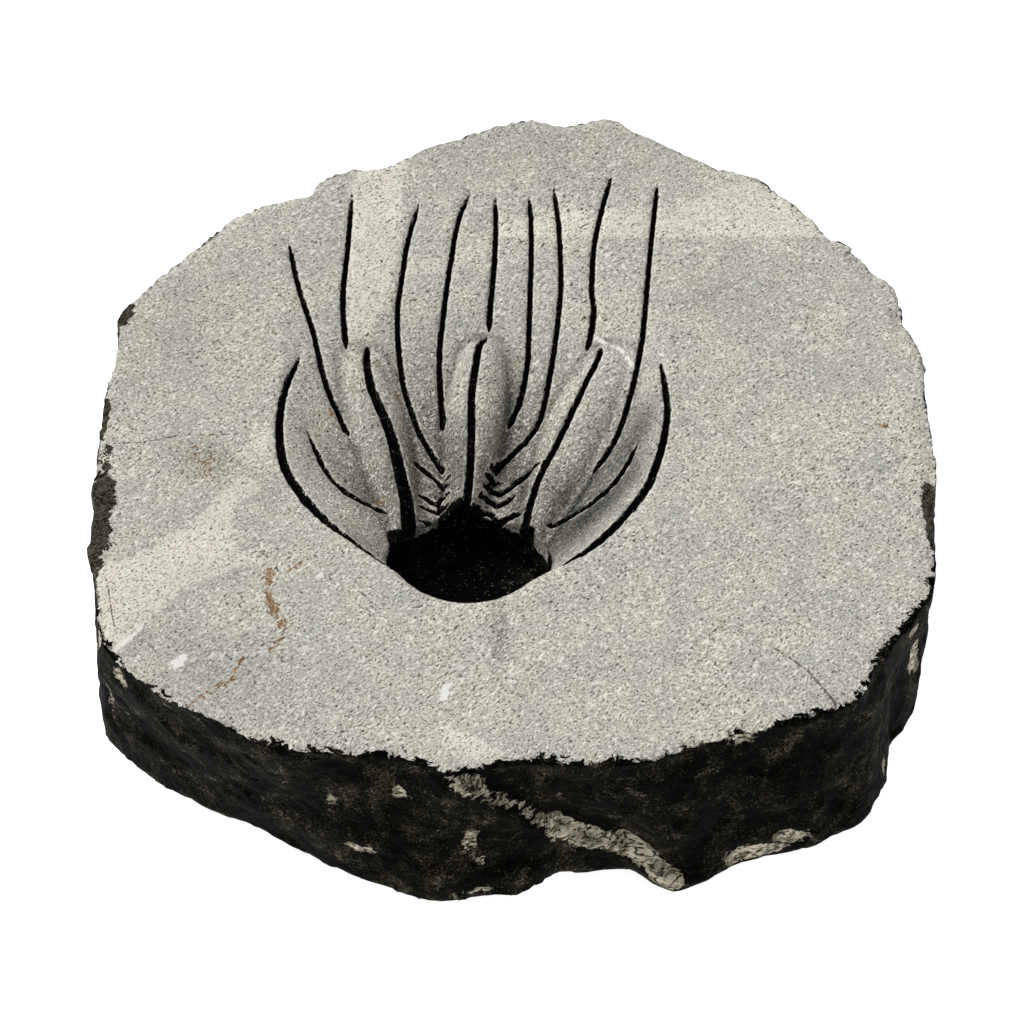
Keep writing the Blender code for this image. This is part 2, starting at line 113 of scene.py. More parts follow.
# a cut: width at its outer end, width at its inner end, depth, length of the taper at each end
saw, arc = (0.0028, 0.0034, 0.0042, 0.012, 0.006), (0.0027, 0.0074, 0.0050, 0.012, 0.001)
nick, notch = (0.0027, 0.0026, 0.0026, 0.004, 0.003), (0.0036, 0.0036, 0.0034, 0.005, 0.003)
leftCrest, middleCrest = (0.0036, 0.0085, 0.0050, 0.004, 0.001), (0.0040, 0.0046, 0.0050, 0.004, 0.001)
rightCrest = (0.0034, 0.0046, 0.0050, 0.004, 0.001)
grooves = {
    "cuts": (
        (saw, ((-0.1264, 0.1319), (-0.1207, 0.1035), (-0.1157, 0.0847), (-0.1096, 0.0636),
            (-0.1031, 0.0355), (-0.0939, 0.0127), (-0.0886, 0.0022))),
        (saw, ((-0.0926, 0.1711), (-0.0936, 0.1284), (-0.0949, 0.0997), (-0.0944, 0.0791),
            (-0.092, 0.056))),
        (saw, ((-0.0548, 0.1634), (-0.0605, 0.1326), (-0.0626, 0.1116), (-0.0648, 0.0873),
            (-0.0646, 0.0678), (-0.0627, 0.0489), (-0.0601, 0.0351), (-0.052, 0.0128), (-0.0454, 0.0012),
            (-0.038, -0.0125))),
        (saw, ((-0.026, 0.1718), (-0.0324, 0.1504), (-0.0363, 0.1193), (-0.0394, 0.088),
            (-0.0419, 0.0569), (-0.0408, 0.0323), (-0.0389, 0.0111))),
        (saw, ((-0.0119, 0.1684), (-0.0116, 0.1445), (-0.0123, 0.1179), (-0.0145, 0.0841),
            (-0.0152, 0.071))),
        (saw, ((0.0068, 0.1687), (0.008, 0.15), (0.0081, 0.123), (0.0073, 0.0928), (0.0065, 0.0661),
            (0.0055, 0.05), (0.0017, 0.0318), (-0.0053, 0.0158))),
        (saw, ((0.0208, 0.1767), (0.0232, 0.1499), (0.0241, 0.1228), (0.0241, 0.0973), (0.0205, 0.0611),
            (0.0151, 0.0303), (0.0108, 0.0167), (0.0045, 0.0082), (-0.0042, 0.0), (-0.0128, -0.01))),
        (saw, ((0.054, 0.1859), (0.0476, 0.1575), (0.0428, 0.128), (0.0411, 0.0968), (0.0421, 0.084),
            (0.0403, 0.0682), (0.0375, 0.0565))),
        (saw, ((0.0796, 0.1789), (0.0764, 0.1497), (0.0731, 0.1167), (0.0698, 0.0801), (0.0669, 0.0556),
            (0.0615, 0.0278), (0.0529, 0.0), (0.0395, -0.0211))),
        (arc, ((-0.1158, 0.0499), (-0.1193, 0.0389), (-0.1229, 0.0245), (-0.1246, 0.0102),
            (-0.1249, -0.004), (-0.1237, -0.018), (-0.1207, -0.0318), (-0.1143, -0.0454),
            (-0.1052, -0.0589), (-0.0927, -0.0723), (-0.0742, -0.0855), (-0.06, -0.093))),
        (arc, ((0.0766, 0.0426), (0.0781, 0.0317), (0.0795, 0.0102), (0.0783, -0.004), (0.0757, -0.018),
            (0.0719, -0.0318), (0.0671, -0.0454), (0.059, -0.0589), (0.0489, -0.0723), (0.0367, -0.0855),
            (0.0191, -0.0966), (0.006, -0.102))),
        (saw, ((-0.1109, -0.001), (-0.1009, -0.0237), (-0.0931, -0.0332), (-0.0831, -0.0385),
            (-0.067, -0.043))),
        (saw, ((0.0646, -0.0066), (0.0553, -0.0257), (0.0467, -0.036), (0.0352, -0.0439),
            (0.015, -0.0516))),
        (leftCrest, ((-0.0812, 0.06), (-0.0806, 0.0456), (-0.0778, 0.0304), (-0.0736, 0.0197),
            (-0.0687, 0.0077), (-0.0646, -0.0059), (-0.0612, -0.0213), (-0.0579, -0.0355),
            (-0.056, -0.055))),
        (middleCrest, ((-0.0162, 0.068), (-0.019, 0.064), (-0.0209, 0.0537), (-0.023, 0.0375),
            (-0.0242, 0.0248), (-0.0241, 0.0), (-0.0252, -0.0232), (-0.0273, -0.042))),
        (rightCrest, ((0.0455, 0.059), (0.0435, 0.0485), (0.0361, 0.0313), (0.0289, 0.0145),
            (0.0202, -0.0051), (0.0124, -0.0202), (0.007, -0.037), (0.003, -0.058))),
        (nick, ((-0.056, -0.004), (-0.0494, -0.0093), (-0.0435, -0.0141), (-0.0386, -0.02),
            (-0.0353, -0.0221))),
        (nick, ((-0.0392, -0.016), (-0.0345, -0.018))),
        (nick, ((-0.0533, -0.025), (-0.0475, -0.0277), (-0.0422, -0.0307), (-0.0396, -0.0255),
            (-0.035, -0.0265))),
        (nick, ((-0.0526, -0.0326), (-0.0469, -0.0335), (-0.0421, -0.036), (-0.039, -0.0316),
            (-0.0345, -0.0319))),
        (nick, ((-0.0521, -0.0427), (-0.0478, -0.0425), (-0.0441, -0.042))),
        (notch, ((-0.0074, -0.0055), (-0.0106, -0.0085), (-0.0145, -0.0123))),
        (notch, ((-0.007, -0.016), (-0.0111, -0.0147), (-0.0142, -0.0167), (-0.0175, -0.017))),
        (notch, ((0.0135, -0.011), (0.007, -0.0115), (0.0006, -0.0157), (-0.0063, -0.0211),
            (-0.0095, -0.0226), (-0.0132, -0.0204), (-0.0185, -0.0232))),
        (notch, ((-0.0005, -0.024), (-0.0047, -0.0271), (-0.0089, -0.0298), (-0.0111, -0.0296),
            (-0.0153, -0.0265), (-0.0205, -0.0298))),
        (notch, ((0.005, -0.0378), (-0.001, -0.037), (-0.0063, -0.0395), (-0.01, -0.0396),
            (-0.0142, -0.0345), (-0.0225, -0.0351)))),
    "wall": 0.0009,          # how far the wall leans in from the edge to the bottom
    "ragged": 0.00035, "raggedSize": 0.0045,
    "pillow": 0.0007, "pillowWidth": 0.0045,   # the stone is worn round beside a cut
}
mesh = {
    # the skin's columns and rows before it is cut finer, then the longest edge in each place
    "columns": 128, "rows": (8, 16, 16, 6), "rowGrowth": 7.0, "rounds": 12,
    "open": 0.0056, "inHollow": 0.0028, "crease": 0.0013, "inCut": 0.0009,
    "mark": 0.0013, "rim": 0.0029, "ring": 0.00125, "wellWall": 0.0038, "side": 0.0042,
}


def smoothRoute(points, step):
    # points about one step apart on a Catmull-Rom curve
    route = [Vector(point) for point in points]
    route = [2 * route[0] - route[1]] + route + [2 * route[-1] - route[-2]]
    path = []
    for before, start, end, after in zip(route, route[1:], route[2:], route[3:]):
        count = max(1, round((end.xy - start.xy).length / step))
        for i in range(count):
            t = i / count
            path.append(0.5 * (2 * start + (end - before) * t
                               + (2 * before - 5 * start + 4 * end - after) * t * t
                               + (3 * start - before - 3 * end + after) * t ** 3))
    path.append(route[-2])
    return np.array([tuple(point) for point in path])


def rimCurve():
    # rim radius and foot overhang round the whole slab, for np.interp
    corners = slab["corners"]
    turns = np.array([corner[0] for corner in corners], float)
    turns = np.concatenate((turns[-2:] - 360, turns, turns[:2] + 360))
    sweep = np.linspace(0, 360, 1441)
    k = np.searchsorted(turns, sweep, side="right")
    k = np.clip(k, 2, len(turns) - 2)
    span = turns[k] - turns[k - 1]
    t = (sweep - turns[k - 1]) / span
    curves = []
    for channel in (1, 2):
        value = np.array([corner[channel] for corner in corners])
        value = np.concatenate((value[-2:], value, value[:2]))
        slopeB = (value[k] - value[k - 2]) / (turns[k] - turns[k - 2]) * span
        slopeC = (value[k + 1] - value[k - 1]) / (turns[k + 1] - turns[k - 1]) * span
        curves.append((2 * t ** 3 - 3 * t * t + 1) * value[k - 1] + (t ** 3 - 2 * t * t + t) * slopeB
                      + (3 * t * t - 2 * t ** 3) * value[k] + (t ** 3 - t * t) * slopeC)
    return np.radians(sweep), curves[0], curves[1]


rimTurns, rimRadii, rimFeet = rimCurve()


def rimRadius(bearing):
    return np.interp(bearing % math.tau, rimTurns, rimRadii)


def bumpNoise(x, y, z, size, seed=0.0):
    # one octave of smooth noise, about -1 to 1, at every point
    return np.array([noise.noise(Vector(spot)) for spot in zip(x / size + seed, y / size - seed, z / size)])


def rockNoise(x, y, z, size, octaves, seed=0.0):
    # several octaves: each is half as large and half as deep as the last
    total = np.zeros(len(x))
    for i in range(octaves):
        total += bumpNoise(x, y, z, size / 2 ** i, seed + 7.3 * i) / 2 ** i
    return total


def hollowHalfWidth(y):
    ahead = np.clip((hollow["y"] - y) / hollow["front"], 0, 1)
    return np.maximum(hollow["halfWidth"] * (1 - ahead ** 2) ** hollow["tipShape"], 1e-6)


def floorDepth(x, y):
    half = hollowHalfWidth(y)
    inward = np.clip(1 - np.abs(x - hollow["x"]) / half, 0, 1)
    middle = hollow["depth"] / (1 + np.exp((y - hollow["rampY"]) / hollow["rampLength"]))
    middle = middle * np.clip((half - hollow["tipStart"]) / hollow["tipStart"], 0, 1)
    return middle * (1 - (1 - inward) ** hollow["bankShape"])


def alongRoute(x, y, path, reach=0.025):
    # distance to a path, share of the way along it, and the path's own values there; far spots get 1 m
    best = np.full(len(x), 1.0)
    values = np.zeros((len(x), path.shape[1]))
    share = np.zeros(len(x))
    low, high = path[:, :2].min(0) - reach, path[:, :2].max(0) + reach
    near = np.flatnonzero((x > low[0]) & (x < high[0]) & (y > low[1]) & (y < high[1]))
    x, y = x[near], y[near]
    nearBest, nearShare, nearValues = best[near], share[near], values[near]
    for i, (start, end) in enumerate(zip(path, path[1:])):
        run = end - start
        along = ((x - start[0]) * run[0] + (y - start[1]) * run[1]) / (run[0] ** 2 + run[1] ** 2)
        along = np.clip(along, 0, 1)
        away = np.hypot(x - start[0] - run[0] * along, y - start[1] - run[1] * along)
        nearer = away < nearBest
        nearBest = np.where(nearer, away, nearBest)
        nearShare = np.where(nearer, (i + along) / (len(path) - 1), nearShare)
        nearValues[nearer] = start + run * along[nearer][:, None]
    best[near], share[near], values[near] = nearBest, nearShare, nearValues
    return best, share, values


fingerPaths = [smoothRoute(route, 0.004) for route in fingers["routes"]]
cutPaths = [(kind, smoothRoute(route, 0.003)) for kind, route in grooves["cuts"]]


def fingerCrease(x, y):
    # how far a spot is from the nearest finger's outline
    nearest = np.full(len(x), 1.0)
    for path in fingerPaths:
        away, _, here = alongRoute(x, y, path)
        nearest = np.minimum(nearest, np.abs(away - here[:, 3]))
    return nearest


def carvedDepth(x, y):
    # floor, banks and fingers below the flat top, without the cuts
    depth = floorDepth(x, y)
    for path in fingerPaths:
        away, _, here = alongRoute(x, y, path)
        aside = np.clip(away / np.maximum(here[:, 3], 1e-6), 0, 1)
        back = here[:, 2] + fingers["side"] * (1 - np.sqrt(1 - aside ** 2))
        depth = np.minimum(depth, np.where(aside < 1, back, 1.0))
    return depth


def nearestCut(x, y):
    # signed distance to the nearest cut's edge (negative inside it), the cut's depth, and the way to it
    nearest = np.full(len(x), 1e3)
    depth = np.zeros(len(x))
    outward = np.zeros((len(x), 2))
    for (wideStart, wideEnd, deep, startTaper, endTaper), path in cutPaths:
        away, share, here = alongRoute(x, y, path)
        length = np.hypot(*np.diff(path, axis=0).T).sum()
        fade = np.minimum(share * length / startTaper, (1 - share) * length / endTaper)
        fade = np.clip(fade, 0, 1) ** 0.6
        edge = away - (wideStart + (wideEnd - wideStart) * share) / 2 * fade
        nearer = edge < nearest
        nearest = np.where(nearer, edge, nearest)
        depth = np.where(nearer, deep * fade, depth)
        away = np.maximum(away, 1e-6)
        outward[nearer] = (np.stack((x, y), 1) - here)[nearer] / away[nearer][:, None]
    return nearest, depth, outward


def rimInset(x, y):
    return rimRadius(np.arctan2(y, x)) - np.hypot(x, y)


def topDepth(x, y, detailed):
    # how far the carved top lies below the flat top
    depth = carvedDepth(x, y)
    if not detailed:
        return depth
    zero = np.zeros(len(x))
    edge, deep, _ = nearestCut(x, y)
    inset = np.maximum(rimInset(x, y), 0)
    ring = np.maximum(np.hypot(x - well["x"], y - well["y"]) - well["radius"], 0)
    edge = edge + grooves["ragged"] * bumpNoise(x, y, zero, grooves["raggedSize"])
    depth = depth + slab["wave"] * (1 + bumpNoise(x, y, zero, slab["waveSize"]))
    depth = depth + slab["tooling"] * (1 + rockNoise(x, y, zero, slab["toolingSize"], 2))
    wear = np.clip(0.55 + rockNoise(x, y, zero, slab["wearSize"], 3, 3.1), 0, 2)
    depth = depth + slab["wear"] * wear * np.clip(1 - inset / slab["wearWidth"], 0, 1) ** 2
    depth = depth + slab["ringWear"] * np.clip(1 - ring / slab["ringWearWidth"], 0, 1) ** 2
    beside = np.clip(1 - edge / grooves["pillowWidth"], 0, 1)
    depth = depth + grooves["pillow"] * np.where(edge > 0, beside ** 2, 1)
    return depth + deep * np.clip(-edge / grooves["wall"], 0, 1) ** 0.7


def facets(x, y, z, size, seed):
    # flat broken faces: each lump of the stone is split off on a slope of its own
    heights = []
    for spot in zip(x / size, y / size, z / size):
        spot = Vector(spot)
        core = noise.voronoi(spot)[1][0]
        slope = noise.cell_vector(core * 3.7 + Vector((seed, seed, seed))) - Vector((0.5, 0.5, 0.5))
        heights.append(slope.dot(spot - core) + 0.6 * noise.cell(core * 5.1))
    return np.array(heights)


def crustDepth(x, y, z, share):
    # how far the broken side is split in from its outer face; share is 0 at the rim and 1 at the bed
    large, small = (depth * facets(x, y, z, size, seed) for depth, size, seed in slab["faces"])
    rough = large + small + slab["rough"] * rockNoise(x, y, z, slab["roughSize"], 4, 1.7) - 0.0010
    return np.clip(rough, -0.003, 0.005) * np.clip((1 - share) * 9, 0, 1)


def softStep(value, low, high):
    t = np.clip((value - low) / (high - low), 0, 1)
    return t * t * (3 - 2 * t)


stains = {
    # pale bands in the stone, each a strength and a strip: x, y, half width
    "bands": (
        (1.0, ((-0.214, -0.13, 0.028), (-0.2, -0.119, 0.024), (-0.184, -0.107, 0.018),
            (-0.177, -0.101, 0.0165), (-0.165, -0.092, 0.0185), (-0.158, -0.084, 0.0165),
            (-0.155, -0.072, 0.0105), (-0.152, -0.06, 0.006))),
        (1.0, ((-0.151, -0.056, 0.005), (-0.142, -0.047, 0.0065), (-0.138, -0.047, 0.006))),
        (0.9, ((-0.152, -0.096, 0.01), (-0.138, -0.095, 0.005), (-0.131, -0.096, 0.001))),
        (0.7, ((-0.141, -0.028, 0.005), (-0.133, -0.014, 0.005), (-0.124, -0.007, 0.003))),
        (0.9, ((-0.074, 0.205, 0.013), (-0.077, 0.19, 0.014), (-0.08, 0.165, 0.016),
            (-0.079, 0.133, 0.0155), (-0.081, 0.095, 0.01), (-0.086, 0.065, 0.006))),
        (0.7, ((-0.06, 0.112, 0.006), (-0.039, 0.115, 0.006))),
        (0.4, ((-0.039, 0.118, 0.004), (-0.012, 0.131, 0.004))),
        (0.9, ((-0.009, 0.14, 0.0045), (0.024, 0.146, 0.011), (0.069, 0.147, 0.012), (0.102, 0.15, 0.015),
            (0.129, 0.158, 0.023), (0.15, 0.152, 0.018), (0.171, 0.14, 0.006))),
        (0.9, ((-0.034, -0.204, 0.005), (-0.02, -0.212, 0.007), (-0.012, -0.216, 0.005)))),
    # broader patches: x, y, half length, half width, turn in degrees, tone; below 0 they are darker
    "patches": (
        (-0.186, -0.098, 0.04, 0.026, 38, 0.1), (0.11, 0.146, 0.09, 0.02, -3, 0.1),
        (-0.16, -0.026, 0.022, 0.01, -20, -0.55), (-0.009, -0.14, 0.006, 0.026, 0, -0.7),
        (0.11, 0.01, 0.03, 0.02, 40, -0.25), (0.105, 0.09, 0.018, 0.01, 20, -0.4)),
    # painted shade that darkens the low side of a strip or a valley (below 0 it is painted light), and
    # darker tone on the open top, in the same form
    "paintedShadeAndTone": (
        (0.034, -0.053, 0.044, 0.0095, 43, 0.62), (0.046, -0.02, 0.034, 0.0085, 47, 0.5),
        (0.068, 0.008, 0.02, 0.009, 75, 0.38), (-0.084, -0.029, 0.024, 0.0065, -50, 0.3),
        (-0.003, 0.03, 0.016, 0.004, 80, 0.38), (-0.094, -0.054, 0.03, 0.012, -42, -0.4),
        (-0.064, 0.025, 0.02, 0.006, -70, -0.2), (-0.012, 0.025, 0.024, 0.005, 80, -0.25),
        (-0.193, 0.065, 0.06, 0.055, 0, 0.11), (-0.155, -0.165, 0.05, 0.022, -35, 0.12),
        (-0.162, -0.03, 0.026, 0.015, -30, 0.16), (0.013, 0.206, 0.11, 0.026, 0, 0.13),
        (-0.128, -0.045, 0.018, 0.012, 60, 0.12), (0.105, 0.09, 0.03, 0.03, 0, 0.07),
        (-0.075, 0.008, 0.04, 0.007, -80, 0.14), (-0.0675, -0.024, 0.016, 0.0055, -78, 0.2),
        (-0.034, -0.01, 0.026, 0.013, 90, 0.45), (-0.0015, -0.018, 0.026, 0.0075, -82, 0.36),
        (0.02, -0.034, 0.018, 0.009, -60, 0.26), (0.044, -0.056, 0.04, 0.011, 54, 0.3),
        (0.0585, -0.02, 0.02, 0.007, 80, 0.22), (-0.081, -0.07, 0.018, 0.0075, -45, 0.4),
        (0.05, 0.01, 0.02, 0.006, 60, 0.15)),
    # painted shade in the creases beside the fingers, and the most painted shade and tone that any spot
    # gets
    "creaseWidth": 0.0022, "creasePaintedShade": 0.34, "mostShadeAndTone": 0.85,
    # where the crust has grown over the rim: x, y, half width, half length
    "overgrown": (
        (-0.216, -0.064, 0.0085, 0.04), (-0.216, 0.077, 0.0085, 0.01), (-0.219, 0.002, 0.004, 0.016),
        (0.213, -0.062, 0.005, 0.022)),
    # black paint that has run over the ring, and the stone that it leaves bare: x, y, radius
    "spills": (
        (-0.061, -0.06, 0.007), (-0.053, -0.052, 0.004), (0.0035, -0.0455, 0.005),
        (-0.0385, -0.0395, 0.0035), (-0.0345, -0.0375, 0.0045), (-0.029, -0.037, 0.0048),
        (-0.0225, -0.0385, 0.0048), (-0.0175, -0.0405, 0.0035)),
    "lumps": (
        (0.0125, -0.06, 0.0075), (-0.0478, -0.0435, 0.007), (-0.005, -0.0415, 0.008)),
    # rusty or cracked lines: start, end, half width, strength
    "rust": (
        ((-0.125, -0.102), (-0.124, -0.122), 0.0034, 1.0),
        ((-0.123, -0.122), (-0.116, -0.137), 0.003, 1.0),
        ((-0.116, -0.104), (-0.108, -0.096), 0.001, 0.8),
        ((-0.116, -0.145), (-0.122, -0.153), 0.0014, 0.8),
        ((-0.135, -0.157), (-0.14, -0.17), 0.0015, 0.9), ((-0.14, -0.17), (-0.15, -0.178), 0.0017, 0.9),
        ((-0.15, -0.178), (-0.16, -0.187), 0.0018, 0.9), ((-0.166, -0.19), (-0.178, -0.184), 0.0036, 1.0),
        ((-0.168, -0.024), (-0.158, -0.038), 0.006, 0.25),
        ((0.192, -0.004), (0.194, -0.005), 0.0028, 1.0), ((-0.066, 0.031), (-0.063, 0.029), 0.0028, 0.8),
        ((-0.073, -0.038), (-0.071, -0.036), 0.0024, 0.8),
        ((-0.099, 0.016), (-0.097, 0.013), 0.0026, 0.7)),
    "cracks": (
        ((-0.212, -0.017), (-0.195, -0.016), 0.0006, 0.8),
        ((-0.195, -0.016), (-0.176, -0.011), 0.0007, 0.9),
        ((-0.176, -0.011), (-0.141, -0.011), 0.0005, 0.7),
        ((0.128, -0.152), (0.143, -0.166), 0.0009, 0.8), ((0.143, -0.166), (0.155, -0.186), 0.001, 0.8),
        ((-0.052, -0.126), (-0.042, -0.124), 0.0007, 0.7), ((0.012, -0.019), (0.018, -0.03), 0.0006, 0.9),
        ((0.018, -0.03), (0.025, -0.037), 0.0006, 0.9), ((-0.211, -0.112), (-0.205, -0.142), 0.0007, 1.0),
        ((-0.207, -0.106), (-0.2, -0.138), 0.0006, 0.9)),
    "chips": (
        ((-0.168, -0.162), (-0.164, -0.157), 0.0034, 0.9),
        ((-0.036, -0.181), (-0.034, -0.175), 0.003, 1.0), ((-0.1, -0.107), (-0.098, -0.105), 0.0016, 0.9),
        ((-0.198, -0.152), (-0.187, -0.139), 0.0016, 0.9), ((0.045, 0.062), (0.056, 0.055), 0.0012, 0.8),
        ((0.056, 0.055), (0.063, 0.042), 0.0012, 0.7)),
    # pale stone that shows through the crust: a vein down the front of the side, then lone patches;
    # each is bearing in degrees, height, half width, and for a patch half height
    "vein": (
        (261.6, 0.102, 0.0022), (264.2, 0.0935, 0.0048), (266.2, 0.088, 0.0014), (270.5, 0.0731, 0.0016),
        (273.5, 0.058, 0.0016), (275.2, 0.05, 0.0055), (277.8, 0.0435, 0.006), (281.8, 0.0363, 0.004),
        (285.9, 0.0286, 0.007), (289.0, 0.017, 0.0065)),
    "bare": (
        (250.9, 0.0413, 0.008, 0.004), (255.6, 0.084, 0.0045, 0.005), (264.2, 0.0531, 0.0035, 0.0075),
        (265.5, 0.0387, 0.0022, 0.004), (265.2, 0.0193, 0.009, 0.0026), (299.5, 0.02, 0.017, 0.0065),
        (303.5, 0.0279, 0.0085, 0.0055), (298.0, 0.105, 0.006, 0.004), (330.5, 0.056, 0.0085, 0.015),
        (327.0, 0.094, 0.005, 0.005), (340.0, 0.072, 0.004, 0.01), (318.0, 0.033, 0.0035, 0.006),
        (213.0, 0.089, 0.006, 0.017), (219.2, 0.097, 0.005, 0.007), (205.8, 0.101, 0.008, 0.005),
        (214.9, 0.06, 0.0026, 0.013), (247.0, 0.07, 0.0024, 0.0034), (60.0, 0.062, 0.015, 0.0024),
        (63.0, 0.053, 0.006, 0.0028), (95.0, 0.033, 0.018, 0.0026), (130.0, 0.072, 0.003, 0.009),
        (165.0, 0.038, 0.011, 0.0028), (20.0, 0.05, 0.003, 0.012)),
}


def bareStone(x, y, z):
    # how far a spot on the side is inside the vein or a bare patch, in metres
    turn, radius = np.degrees(np.arctan2(y, x)) % 360, np.hypot(x, y)
    inside = np.full(len(x), -1.0)

    def aside(bearing):
        return np.radians((turn - bearing + 180) % 360 - 180) * radius

    vein = np.array(stains["vein"])
    for (bearing, height, half), (nextBearing, nextHeight, nextHalf) in zip(vein, vein[1:]):
        runX, runZ = math.radians(nextBearing - bearing) * 0.23, nextHeight - height
        along = (aside(bearing) * runX + (z - height) * runZ) / (runX ** 2 + runZ ** 2)
        along = np.clip(along, 0, 1)
        away = np.hypot(aside(bearing) - runX * along, z - height - runZ * along)
        inside = np.maximum(inside, half + (nextHalf - half) * along - away)
    for bearing, height, halfWide, halfHigh in stains["bare"]:
        away = np.hypot(aside(bearing) / halfWide, (z - height) / halfHigh)
        inside = np.maximum(inside, (1 - away) * min(halfWide, halfHigh))
    return inside


def ledgeDepth(turn, height):
    # above the vein the stone is split further in, below it a ledge stands out
    vein = np.array(stains["vein"])
    turn = np.degrees(turn) % 360
    above = height - np.interp(turn, vein[:, 0], vein[:, 1])
    near = softStep(turn, 258, 264) * softStep(turn, 294, 287)
    shape = 0.0060 * softStep(above, -0.001, 0.005) * softStep(above, 0.034, 0.010)
    return near * (shape - 0.0012 * softStep(above, -0.016, -0.006) * softStep(above, 0.001, -0.004))


def sidePlace(turn, down, detailed):
    # radius and height of the stone's side; down is 0 at the rim and 1 at the bed
    height = slab["thickness"] * (1 - down)
    foot = np.interp(turn % math.tau, rimTurns, rimFeet)
    radius = rimRadius(turn) + foot * np.interp(height, slab["sideHeights"], slab["sideShares"])
    radius = radius - np.interp(height, slab["sideHeights"], slab["sideInsets"])
    spot = radius * np.cos(turn), radius * np.sin(turn), height
    radius = radius + slab["lump"] * bumpNoise(*spot, slab["lumpSize"])
    if detailed:
        radius = radius - crustDepth(*spot, down)
        radius = radius - 0.0012 * softStep(bareStone(*spot), -0.002, 0.002) * np.clip((1 - down) * 9, 0, 1)
        radius = radius - ledgeDepth(turn, height) * np.clip(down * 12, 0, 1)
    return radius, height


def sheetPlace(sheet, detailed=False):
    # the stone's skin: column is the bearing; row 0-1 is the well from its middle up, 1-2 the top,
    # 2-3 the side from the rim down, and 3-4 the bed in to its middle
    row = sheet[:, 2]
    turn = np.arctan2(sheet[:, 1], sheet[:, 0])
    cosine, sine = np.cos(turn), np.sin(turn)
    x, y, z = np.zeros(len(row)), np.zeros(len(row)), np.zeros(len(row))
    inner, top, outer = row < 0.99999, (row >= 0.99999) & (row <= 2.00001), row > 2.00001

    # the side and the bed
    radius, height = sidePlace(turn[outer], np.clip(row[outer] - 2, 0, 1), detailed)
    radius = radius * np.clip(4 - row[outer], 0, 1)
    x[outer], y[outer], z[outer] = radius * cosine[outer], radius * sine[outer], height

    # the top, across from the well's ring to the rim
    across = np.clip(row[top] - 1, 0, 1)
    radius = sidePlace(turn[top], np.zeros(top.sum()), detailed)[0]
    topX = (1 - across) * (well["x"] + well["radius"] * cosine[top]) + across * radius * cosine[top]
    topY = (1 - across) * (well["y"] + well["radius"] * sine[top]) + across * radius * sine[top]
    if detailed:
        edge, _, outward = nearestCut(topX, topY)
        edge = np.where((np.abs(edge) < 0.0004) & (across > 0) & (across < 0.98), edge, 0)
        topX, topY = topX - outward[:, 0] * edge, topY - outward[:, 1] * edge
    x[top], y[top], z[top] = topX, topY, slab["thickness"] - topDepth(topX, topY, detailed)

    # down the well: its wall, its rounding and its floor
    ringX = well["x"] + well["radius"] * cosine[inner]
    ringY = well["y"] + well["radius"] * sine[inner]
    ringZ = slab["thickness"] - topDepth(ringX, ringY, detailed)
    share = row[inner]
    floor, rounding = slab["thickness"] - well["depth"], well["floorRound"]
    flat, turned = well["flatRows"], well["roundRows"]
    bend = np.clip((share - flat) / turned, 0, 1) * math.pi / 2
    radius = np.where(share < flat, (well["radius"] - rounding) * share / flat,
                      well["radius"] - rounding * (1 - np.sin(bend)))
    up = np.clip((share - flat - turned) / (1 - flat - turned), 0, 1)
    low = floor + rounding * (1 - np.cos(bend))
    if detailed:
        tooled = rockNoise(ringX, ringY, low + (ringZ - low) * up, well["toolingSize"], 2)
        radius = radius + well["tooling"] * tooled * np.clip(up * 6, 0, 1) * np.clip((1 - up) * 6, 0, 1)
    x[inner] = well["x"] + radius * cosine[inner]
    y[inner] = well["y"] + radius * sine[inner]
    z[inner] = low + (ringZ - low) * up
    return np.stack((x, y, z), 1)


def wantedLength(place, row):
    # the longest edge that the skin may have here; it grows with the distance from what needs detail
    wanted = np.where(row < 1, mesh["wellWall"], mesh["side"] + 0.1 * np.clip(row - 3, 0, 1))
    wanted = np.where(row < 1, np.minimum(wanted, mesh["ring"] + 0.012 * (1 - row)), wanted)
    top = (row > 0.99999) & (row < 2.00001)
    x, y, _ = place[top].T
    ring = np.abs(np.hypot(x - well["x"], y - well["y"]) - well["radius"])
    inset = np.maximum(rimInset(x, y), 0)
    inHollow = np.abs(x - hollow["x"]) < hollowHalfWidth(y)
    mark = np.full(len(x), 1.0)
    for start, end, half, _ in stains["rust"] + stains["cracks"] + stains["chips"]:
        mark = np.minimum(mark, np.maximum(alongRoute(x, y, np.array((start, end)), 0.02)[0] - half, 0))
    cutEdge = np.abs(nearestCut(x, y)[0] + 0.0006)
    wanted[top] = np.minimum.reduce((
        np.where(inHollow, mesh["inHollow"], mesh["open"]), mesh["inCut"] + 0.30 * cutEdge,
        mesh["crease"] + 0.35 * fingerCrease(x, y), mesh["rim"] + 0.25 * inset, mesh["ring"] + 0.30 * ring,
        mesh["mark"] + 0.40 * mark))
    return wanted


def skinRows():
    # the rows of the uncut skin; on the top they lie closer together near the well
    counts = mesh["rows"]
    growing = (mesh["rowGrowth"] ** np.linspace(0, 1, counts[1] + 1) - 1) / (mesh["rowGrowth"] - 1)
    return np.concatenate((np.linspace(0, 1, counts[0] + 1)[:-1], 1 + growing[:-1],
                           np.linspace(2, 3, counts[2] + 1)[:-1], np.linspace(3, 4, counts[3] + 1)))


